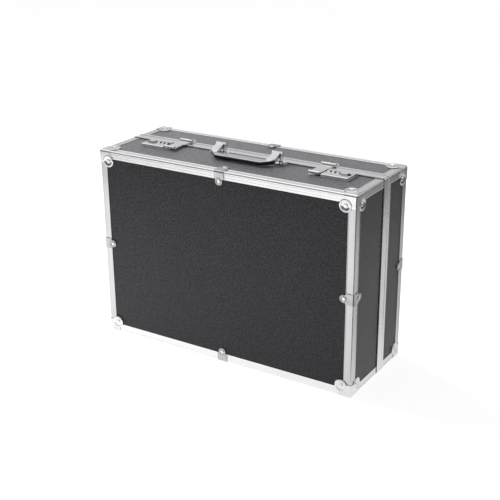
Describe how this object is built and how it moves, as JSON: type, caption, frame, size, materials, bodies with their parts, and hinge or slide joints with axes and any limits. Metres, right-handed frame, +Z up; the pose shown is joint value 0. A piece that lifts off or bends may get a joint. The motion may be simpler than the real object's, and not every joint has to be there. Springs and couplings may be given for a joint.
{
  "type": "trading card storage case",
  "caption": "Hard storage case for trading cards, with black panels, aluminium edging, steel corner caps, a hinged lid, combination locks with hasps and a folding handle.",
  "frame": {"origin": "bottom centre of the case's box as it stands on its hinge side", "axes": "+Z up from the hinge side to the handle side, +X along the length, -Y towards the base shell's large face"},
  "size_m": [0.5034, 0.1876, 0.3662],
  "materials": {
    "panel_laminate": "plywood faced with black pebble-grain laminate",
    "aluminium_edging": "satin anodised ribbed extrusion",
    "chrome_hardware": "bright chromed pressed steel",
    "steel_fixings": "nickel-plated rivets, pins and hinge strip",
    "dial_metal": "nickel-plated dial with plain numbers",
    "case_foam": "matt charcoal foam"
  },
  "bodies": {
    "base_shell": {"base_bottom_board": "panel_laminate", "base_bottom_profile": "aluminium_edging", "base_corner_caps": "chrome_hardware", "base_depth_profiles": "aluminium_edging", "base_edge_clips": "chrome_hardware", "base_face_board": "panel_laminate", "base_floor_pad": "case_foam", "base_hinge_rail": "aluminium_edging", "base_left_board": "panel_laminate", "base_left_profile": "aluminium_edging", "base_right_board": "panel_laminate", "base_right_profile": "aluminium_edging", "base_rim_tongue": "aluminium_edging", "base_rivets": "steel_fixings", "base_side_liners": "case_foam", "base_top_board": "panel_laminate", "base_top_profile": "aluminium_edging", "dial_axles": "steel_fixings", "handle_brackets": "chrome_hardware", "handle_pins": "steel_fixings", "hinge_base_leaf": "steel_fixings", "hinge_pin": "steel_fixings", "lane_dividers": "case_foam", "lane_spacers": "case_foam", "lock_cover_left": "chrome_hardware", "lock_cover_right": "chrome_hardware", "lock_plate_left": "chrome_hardware", "lock_plate_right": "chrome_hardware"},
    "lid_shell": {"hasp_pins": "steel_fixings", "hasp_plate_left": "chrome_hardware", "hasp_plate_right": "chrome_hardware", "hinge_lid_leaf": "steel_fixings", "lid_bottom_board": "panel_laminate", "lid_bottom_profile": "aluminium_edging", "lid_corner_caps": "chrome_hardware", "lid_depth_profiles": "aluminium_edging", "lid_edge_clips": "chrome_hardware", "lid_face_board": "panel_laminate", "lid_foam_pad": "case_foam", "lid_hinge_rail": "aluminium_edging", "lid_left_board": "panel_laminate", "lid_left_profile": "aluminium_edging", "lid_right_board": "panel_laminate", "lid_right_profile": "aluminium_edging", "lid_rim_band": "aluminium_edging", "lid_rivets": "steel_fixings", "lid_side_liners": "case_foam", "lid_top_board": "panel_laminate", "lid_top_profile": "aluminium_edging"},
    "handle": {"handle_bail": "chrome_hardware"},
    "hasp_left_body": {"hasp_left": "chrome_hardware"},
    "button_left": {"lock_button_left": "chrome_hardware"},
    "dial_left_1": {"lock_dial_left_1": "dial_metal"},
    "dial_left_2": {"lock_dial_left_2": "dial_metal"},
    "dial_left_3": {"lock_dial_left_3": "dial_metal"},
    "hasp_right_body": {"hasp_right": "chrome_hardware"},
    "button_right": {"lock_button_right": "chrome_hardware"},
    "dial_right_1": {"lock_dial_right_1": "dial_metal"},
    "dial_right_2": {"lock_dial_right_2": "dial_metal"},
    "dial_right_3": {"lock_dial_right_3": "dial_metal"}
  },
  "joints": [
    {"name": "lid_hinge", "type": "hinge", "parent": "base_shell", "child": "lid_shell", "pos_m": [0, 0.0025, 0.00415], "axis": [-1, 0, 0], "range_deg": [0, 95]},
    {"name": "handle_pivot", "type": "hinge", "parent": "base_shell", "child": "handle", "pos_m": [0, 0.0015, 0.3616], "axis": [-1, 0, 0], "range_deg": [0, 95]},
    {"name": "hasp_left_hinge", "type": "hinge", "parent": "lid_shell", "child": "hasp_left_body", "pos_m": [-0.143, 0.019, 0.35225], "axis": [-1, 0, 0], "range_deg": [0, 115]},
    {"name": "button_left_slide", "type": "slide", "parent": "base_shell", "child": "button_left", "axis": [-1, 0, 0], "range_m": [0, 0.004], "stiffness_N_per_m": 400, "springref_m": -0.003},
    {"name": "dial_left_1_turn", "type": "hinge", "parent": "base_shell", "child": "dial_left_1", "pos_m": [-0.16127, -0.013, 0.34675], "axis": [1, 0, 0], "continuous": true},
    {"name": "dial_left_2_turn", "type": "hinge", "parent": "base_shell", "child": "dial_left_2", "pos_m": [-0.1694, -0.013, 0.34675], "axis": [1, 0, 0], "continuous": true},
    {"name": "dial_left_3_turn", "type": "hinge", "parent": "base_shell", "child": "dial_left_3", "pos_m": [-0.17753, -0.013, 0.34675], "axis": [1, 0, 0], "continuous": true},
    {"name": "hasp_right_hinge", "type": "hinge", "parent": "lid_shell", "child": "hasp_right_body", "pos_m": [0.143, 0.019, 0.35225], "axis": [-1, 0, 0], "range_deg": [0, 115]},
    {"name": "button_right_slide", "type": "slide", "parent": "base_shell", "child": "button_right", "axis": [1, 0, 0], "range_m": [0, 0.004], "stiffness_N_per_m": 400, "springref_m": -0.003},
    {"name": "dial_right_1_turn", "type": "hinge", "parent": "base_shell", "child": "dial_right_1", "pos_m": [0.16127, -0.013, 0.34675], "axis": [1, 0, 0], "continuous": true},
    {"name": "dial_right_2_turn", "type": "hinge", "parent": "base_shell", "child": "dial_right_2", "pos_m": [0.1694, -0.013, 0.34675], "axis": [1, 0, 0], "continuous": true},
    {"name": "dial_right_3_turn", "type": "hinge", "parent": "base_shell", "child": "dial_right_3", "pos_m": [0.17753, -0.013, 0.34675], "axis": [1, 0, 0], "continuous": true}
  ]
}
